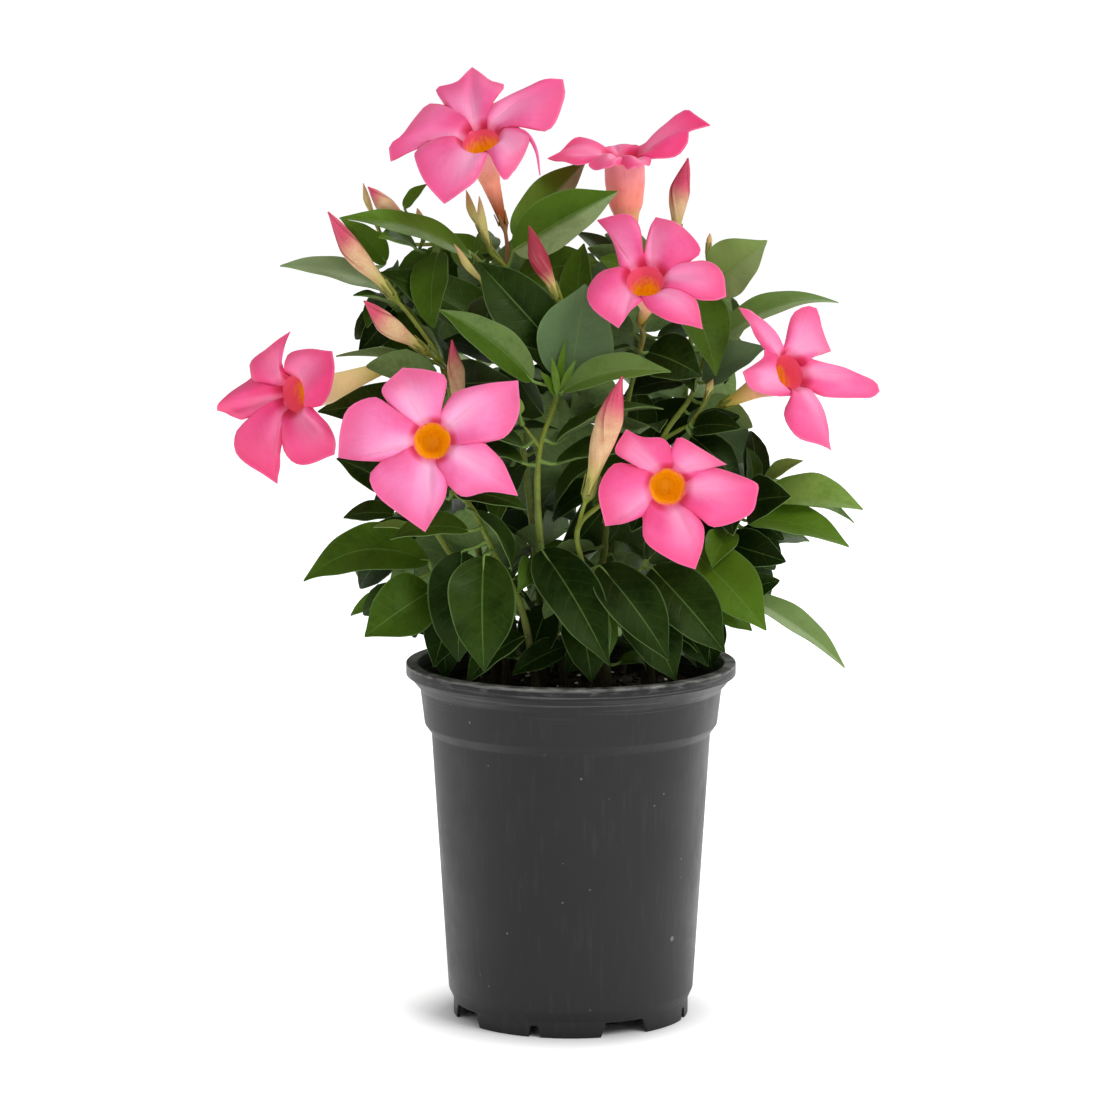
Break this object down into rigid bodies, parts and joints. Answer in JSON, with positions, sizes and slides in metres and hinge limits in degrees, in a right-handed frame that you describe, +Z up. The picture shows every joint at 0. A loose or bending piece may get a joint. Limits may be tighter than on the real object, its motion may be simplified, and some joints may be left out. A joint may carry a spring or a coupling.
{
  "type": "potted dipladenia",
  "caption": "Flowering dipladenia in a round black nursery pot: leafy stems with glossy pointed leaves, pink funnel-shaped blooms and rolled buds.",
  "frame": {"origin": "centre of the pot's flat floor pad, on the surface that the pot stands on", "axes": "+Z up along the pot's axis; -Y toward the side that the picture shows; +X to the right in the picture"},
  "size_m": [0.2831, 0.1968, 0.4023],
  "materials": {
    "black_plastic": "satin moulded plastic with a little dust",
    "potting_mix": "moist crumbly potting mix",
    "leaf_green": "glossy leaves with light midribs on smooth green stems",
    "pink_petal": "soft velvety pink petals with an orange throat",
    "rolled_petal": "soft rolled petals, pink to yellow-green at the foot"
  },
  "bodies": {
    "root": {"pot": "black_plastic", "soil": "potting_mix", "leafy_stem_left_low": "leaf_green", "leafy_stem_front_left": "leaf_green", "leafy_stem_left_flowers": "leaf_green", "leafy_stem_top_left": "leaf_green", "leafy_stem_top_right": "leaf_green", "leafy_stem_centre_right": "leaf_green", "leafy_stem_right_flowers": "leaf_green", "leafy_stem_front_right": "leaf_green", "leafy_stem_right_low": "leaf_green", "leafy_stem_middle_shoot": "leaf_green", "leafy_stem_back_left": "leaf_green", "leafy_stem_back_right": "leaf_green", "leafy_stem_back_middle": "leaf_green", "bloom_top_left": "pink_petal", "bloom_top_right": "pink_petal", "bloom_centre_right": "pink_petal", "bloom_left": "pink_petal", "bloom_front_left": "pink_petal", "bloom_front_right": "pink_petal", "bloom_right": "pink_petal", "bud_left_long": "rolled_petal", "bud_left_short": "rolled_petal", "bud_behind_bloom": "rolled_petal", "bud_right_top": "rolled_petal", "bud_slender": "rolled_petal", "bud_middle_red": "rolled_petal", "bud_front_large": "rolled_petal", "bud_left_pink": "rolled_petal", "bud_left_upright": "rolled_petal", "bud_left_small": "rolled_petal", "bud_young_left": "rolled_petal", "bud_young_right": "rolled_petal", "bud_right_tiny": "rolled_petal", "bud_right_small": "rolled_petal"}
  },
  "joints": []
}
